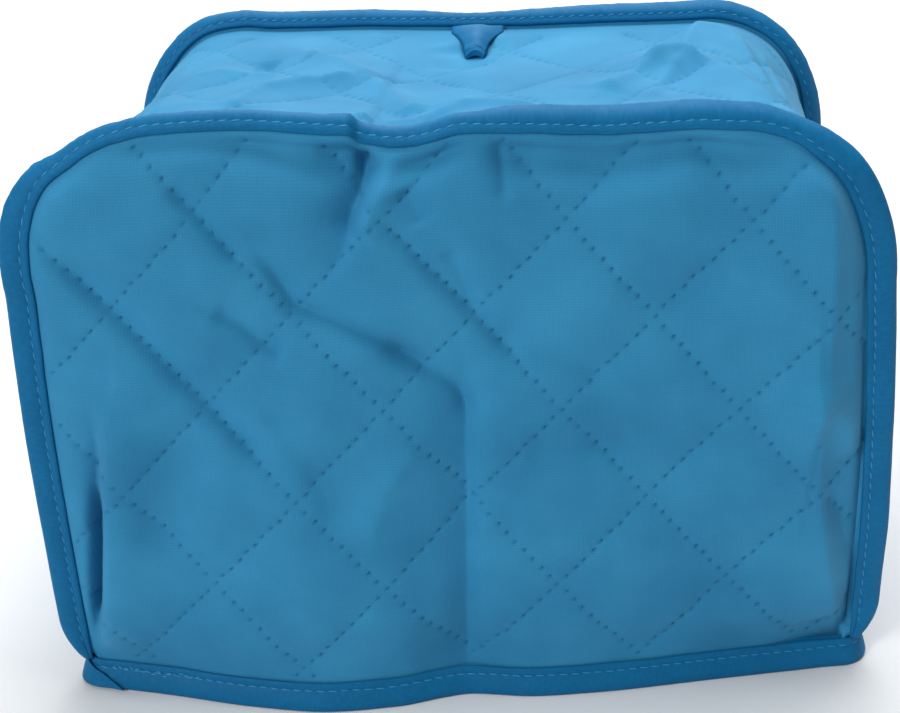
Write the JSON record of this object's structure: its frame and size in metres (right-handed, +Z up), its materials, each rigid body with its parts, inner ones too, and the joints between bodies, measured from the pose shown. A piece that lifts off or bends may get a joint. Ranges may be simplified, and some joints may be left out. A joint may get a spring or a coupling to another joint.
{
  "type": "toaster cover",
  "caption": "Hollow quilted cloth cover for a two-slice toaster: front and back panels, a gusset, bound seams standing out as flanges, a bound hem and a hanging loop.",
  "frame": {"origin": "on the floor, under the middle of the cover's bounding box", "axes": "+X to the right as the front panel is looked at, along the long side; +Y from the front panel to the back one; +Z up"},
  "size_m": [0.3032, 0.2008, 0.2068],
  "materials": {
    "quilted_cloth": "plain weave in mid blue over thin wadding, pin quilted in diamonds",
    "binding_tape": "folded woven tape in a slightly brighter blue, edge stitched"
  },
  "bodies": {
    "root": {"front_panel": "quilted_cloth", "back_panel": "quilted_cloth", "gusset": "quilted_cloth", "front_binding": "binding_tape", "back_binding": "binding_tape", "hem_binding": "binding_tape", "hanging_loop": "binding_tape"}
  },
  "joints": []
}
